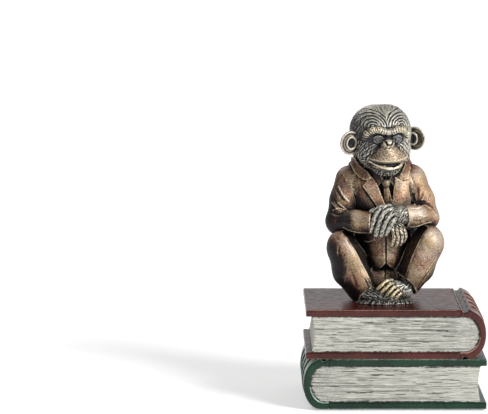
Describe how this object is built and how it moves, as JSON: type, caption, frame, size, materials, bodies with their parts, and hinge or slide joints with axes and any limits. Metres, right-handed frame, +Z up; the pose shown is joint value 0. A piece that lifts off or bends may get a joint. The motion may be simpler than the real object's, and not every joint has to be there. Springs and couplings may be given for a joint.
{
  "type": "monkey bookend",
  "caption": "Bookend: a seated monkey in a suit and tie, arms folded and feet crossed, on two stacked closed books with rounded spines.",
  "frame": {"origin": "middle of the footprint, on the surface that the felt pads rest on", "axes": "+Z up, -Y the way the monkey faces, -X the side that the held books lean against"},
  "size_m": [0.104, 0.076, 0.1694],
  "materials": {
    "oxblood_cover": "oxblood paint on cast resin, satin, rubbed at the edges",
    "green_cover": "bottle green paint on cast resin, satin, rubbed at the edges",
    "page_edges": "cream paint with a dark wash in the grooves between the leaves",
    "bronze_cloth": "antique bronze paint, dark wash in the folds, gold dry-brush on the edges",
    "bronze_fur": "dark pewter bronze with pale dry-brush on the hair",
    "bronze_face": "gold bronze with a dark wash in the wrinkles",
    "dark_eye": "gloss black-brown paint",
    "felt": "dark felt",
    "steel": "plain steel dowel"
  },
  "bodies": {
    "root": {"foot_pads": "felt", "lower_book_bottom_board": "green_cover", "lower_book_top_board": "green_cover", "lower_book_spine": "green_cover", "lower_book_spine_bands": "green_cover", "lower_book_pages": "page_edges", "upper_book_bottom_board": "oxblood_cover", "upper_book_top_board": "oxblood_cover", "upper_book_spine": "oxblood_cover", "upper_book_spine_bands": "oxblood_cover", "upper_book_pages": "page_edges", "book_dowels": "steel", "figure_dowels": "steel", "figure_plinth": "bronze_fur", "trousers_seat": "bronze_cloth", "left_trouser_leg": "bronze_cloth", "right_trouser_leg": "bronze_cloth", "left_foot": "bronze_fur", "right_foot": "bronze_fur", "jacket": "bronze_cloth", "jacket_collar": "bronze_cloth", "left_lapel": "bronze_cloth", "right_lapel": "bronze_cloth", "left_sleeve": "bronze_cloth", "right_sleeve": "bronze_cloth", "left_hand": "bronze_fur", "right_hand": "bronze_fur", "waistcoat": "bronze_cloth", "waistcoat_buttons": "bronze_cloth", "necktie": "bronze_cloth", "shirt_collar": "bronze_cloth", "neck_fur": "bronze_fur", "head": "bronze_fur", "eyes": "dark_eye", "left_ear": "bronze_face", "right_ear": "bronze_face"}
  },
  "joints": []
}
